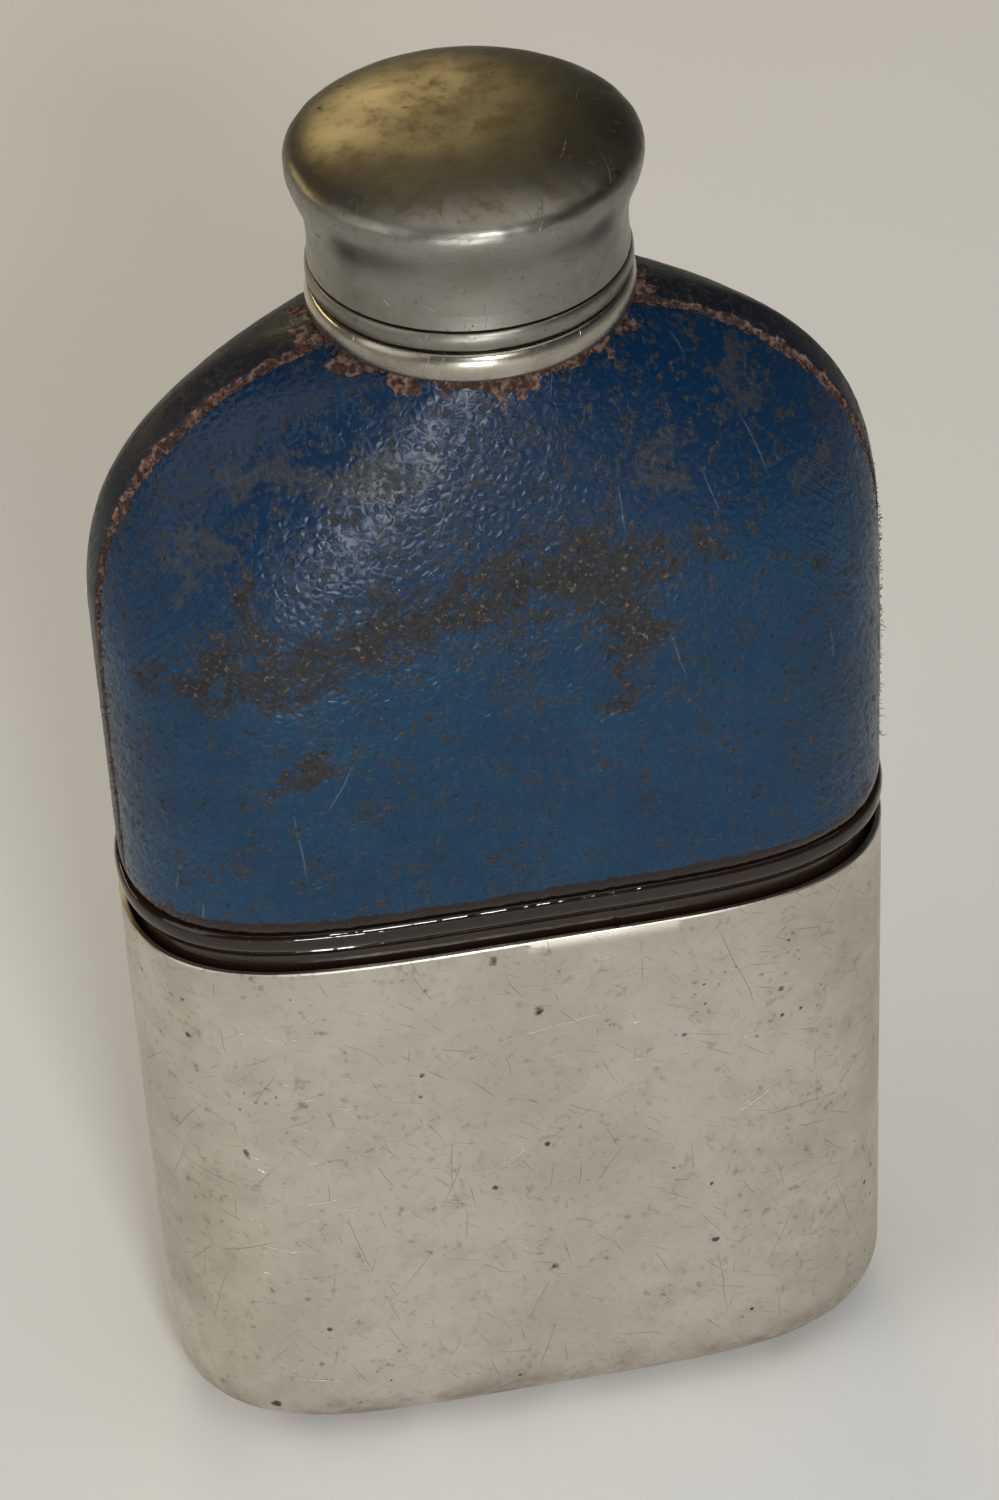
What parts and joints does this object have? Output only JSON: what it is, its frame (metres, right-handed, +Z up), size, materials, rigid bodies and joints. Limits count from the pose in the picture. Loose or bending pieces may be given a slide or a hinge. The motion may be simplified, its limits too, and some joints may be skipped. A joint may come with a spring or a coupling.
{
  "type": "hip flask",
  "caption": "Flat-oval pocket spirit flask: leather-covered glass bottle with a domed screw cap, standing in a slip-on metal drinking cup.",
  "frame": {"origin": "centre of the cup's flat base, on the surface the flask stands on", "axes": "+Z up along the cap's axis, +X along the wide side, -Y out of the blue front panel"},
  "size_m": [0.0764, 0.034, 0.148],
  "materials": {
    "silver_plate": "worn satin silver plate with fine scratches and dark pits",
    "dark_glass": "very dark amber glass, nearly black, glossy",
    "blue_leather": "fine pebble grain, dark blue, rubbed through to brown",
    "navy_leather": "smooth, nearly black navy",
    "polished_pewter": "polished, slightly yellow grey",
    "thread_pewter": "dull grey, worn bright on the ridges",
    "plaster": "matt off-white",
    "cap_pewter": "dull dark pewter with an olive-brown tarnish",
    "ring_pewter": "dull dark pewter",
    "liner_pewter": "dull grey",
    "plate_pewter": "dull grey, spun",
    "cork": "aged cork with dark pores"
  },
  "bodies": {
    "cup": {"cup_shell": "silver_plate"},
    "bottle": {"glass_bottle": "dark_glass", "leather_front": "blue_leather", "leather_back": "navy_leather", "neck_collar": "polished_pewter", "neck_thread_sleeve": "thread_pewter", "neck_cement": "plaster"},
    "cork_seal": {"cork_disc": "cork"},
    "cap": {"cap_shell": "cap_pewter", "cap_base_ring": "ring_pewter", "cap_thread_liner": "liner_pewter", "cap_liner_plate": "plate_pewter"}
  },
  "joints": [
    {"name": "bottle_slide", "type": "slide", "parent": "cup", "child": "bottle", "axis": [0, 0, 1], "range_m": [0, 0.08]},
    {"name": "cap_lift", "type": "slide", "parent": "bottle", "child": "cork_seal", "axis": [0, 0, 1], "range_m": [0, 0.0252]},
    {"name": "cap_turn", "type": "hinge", "parent": "cork_seal", "child": "cap", "pos_m": [0, 0, 0.1325], "axis": [0, 0, 1], "range_deg": [0, 2520]}
  ],
  "couplings": [
    {"joint": "cap_lift", "follows": "cap_turn", "m_per_rad": 0.00057296}
  ]
}
